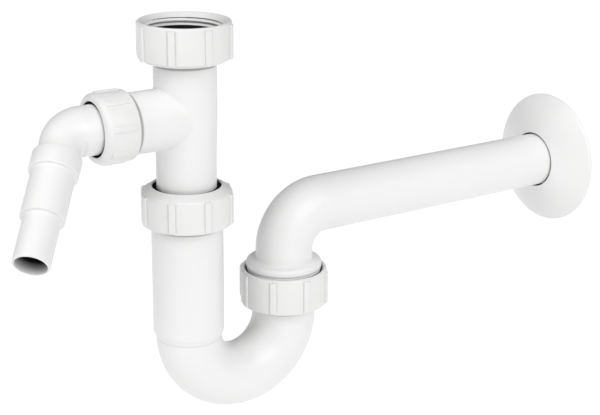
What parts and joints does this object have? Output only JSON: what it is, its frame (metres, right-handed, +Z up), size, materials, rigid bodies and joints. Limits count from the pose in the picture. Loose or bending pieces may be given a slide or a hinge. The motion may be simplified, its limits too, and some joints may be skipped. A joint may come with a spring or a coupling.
{
  "type": "basin trap",
  "caption": "White plastic tubular basin trap with threaded inlet nut, side branch carrying a stepped hose spigot, U bend, long wall outlet pipe and domed wall flange.",
  "frame": {"origin": "centre of the inlet nut's thread where it starts below its lead-in cone", "axes": "+Z up out of the inlet, +X along the outlet pipe towards the wall, branch on the -X side"},
  "size_m": [0.3933, 0.0929, 0.2224],
  "materials": {
    "white_plastic": "satin white moulded polypropylene with a faint grain",
    "nut_plastic": "satin white moulded polypropylene",
    "seal_rubber": "matte black sealing rubber"
  },
  "bodies": {
    "inlet_nut": {"inlet_nut": "nut_plastic"},
    "tee": {"inlet_tee": "white_plastic", "inlet_washer": "seal_rubber"},
    "branch_nut": {"branch_nut": "nut_plastic"},
    "elbow": {"hose_elbow": "white_plastic", "branch_seal": "seal_rubber"},
    "slip_seal": {"slip_seal": "seal_rubber"},
    "trap": {"trap_bend": "white_plastic"},
    "slip_nut": {"slip_nut": "nut_plastic"},
    "outlet_nut": {"outlet_nut": "nut_plastic"},
    "outlet": {"outlet_bend": "white_plastic", "outlet_washer": "seal_rubber"},
    "wall_flange": {"wall_flange": "white_plastic"}
  },
  "joints": [
    {"name": "tee_swivel", "type": "hinge", "parent": "inlet_nut", "child": "tee", "pos_m": [0, 0, 0], "axis": [0, 0, 1], "continuous": true},
    {"name": "branch_nut_turn", "type": "hinge", "parent": "tee", "child": "branch_nut", "pos_m": [0, 0, -0.0484], "axis": [-1, 0, 0], "continuous": true},
    {"name": "elbow_swivel", "type": "hinge", "parent": "tee", "child": "elbow", "pos_m": [0, 0, -0.0484], "axis": [-1, 0, 0], "continuous": true},
    {"name": "tail_slide", "type": "slide", "parent": "tee", "child": "slip_seal", "axis": [0, 0, 1], "range_m": [-0.03, 0.007]},
    {"name": "trap_turn", "type": "hinge", "parent": "slip_seal", "child": "trap", "pos_m": [0, 0, -0.1], "axis": [0, 0, 1], "range_deg": [-90, 90]},
    {"name": "slip_nut_turn", "type": "hinge", "parent": "trap", "child": "slip_nut", "pos_m": [0, 0, -0.1], "axis": [0, 0, 1], "continuous": true},
    {"name": "outlet_nut_turn", "type": "hinge", "parent": "trap", "child": "outlet_nut", "pos_m": [0.0621, 0, -0.155], "axis": [0, 0, 1], "continuous": true},
    {"name": "outlet_swivel", "type": "hinge", "parent": "trap", "child": "outlet", "pos_m": [0.0621, 0, -0.155], "axis": [0, 0, 1], "range_deg": [-60, 60]},
    {"name": "flange_slide", "type": "slide", "parent": "outlet", "child": "wall_flange", "axis": [1, 0, 0], "range_m": [-0.12, 0.005]}
  ]
}
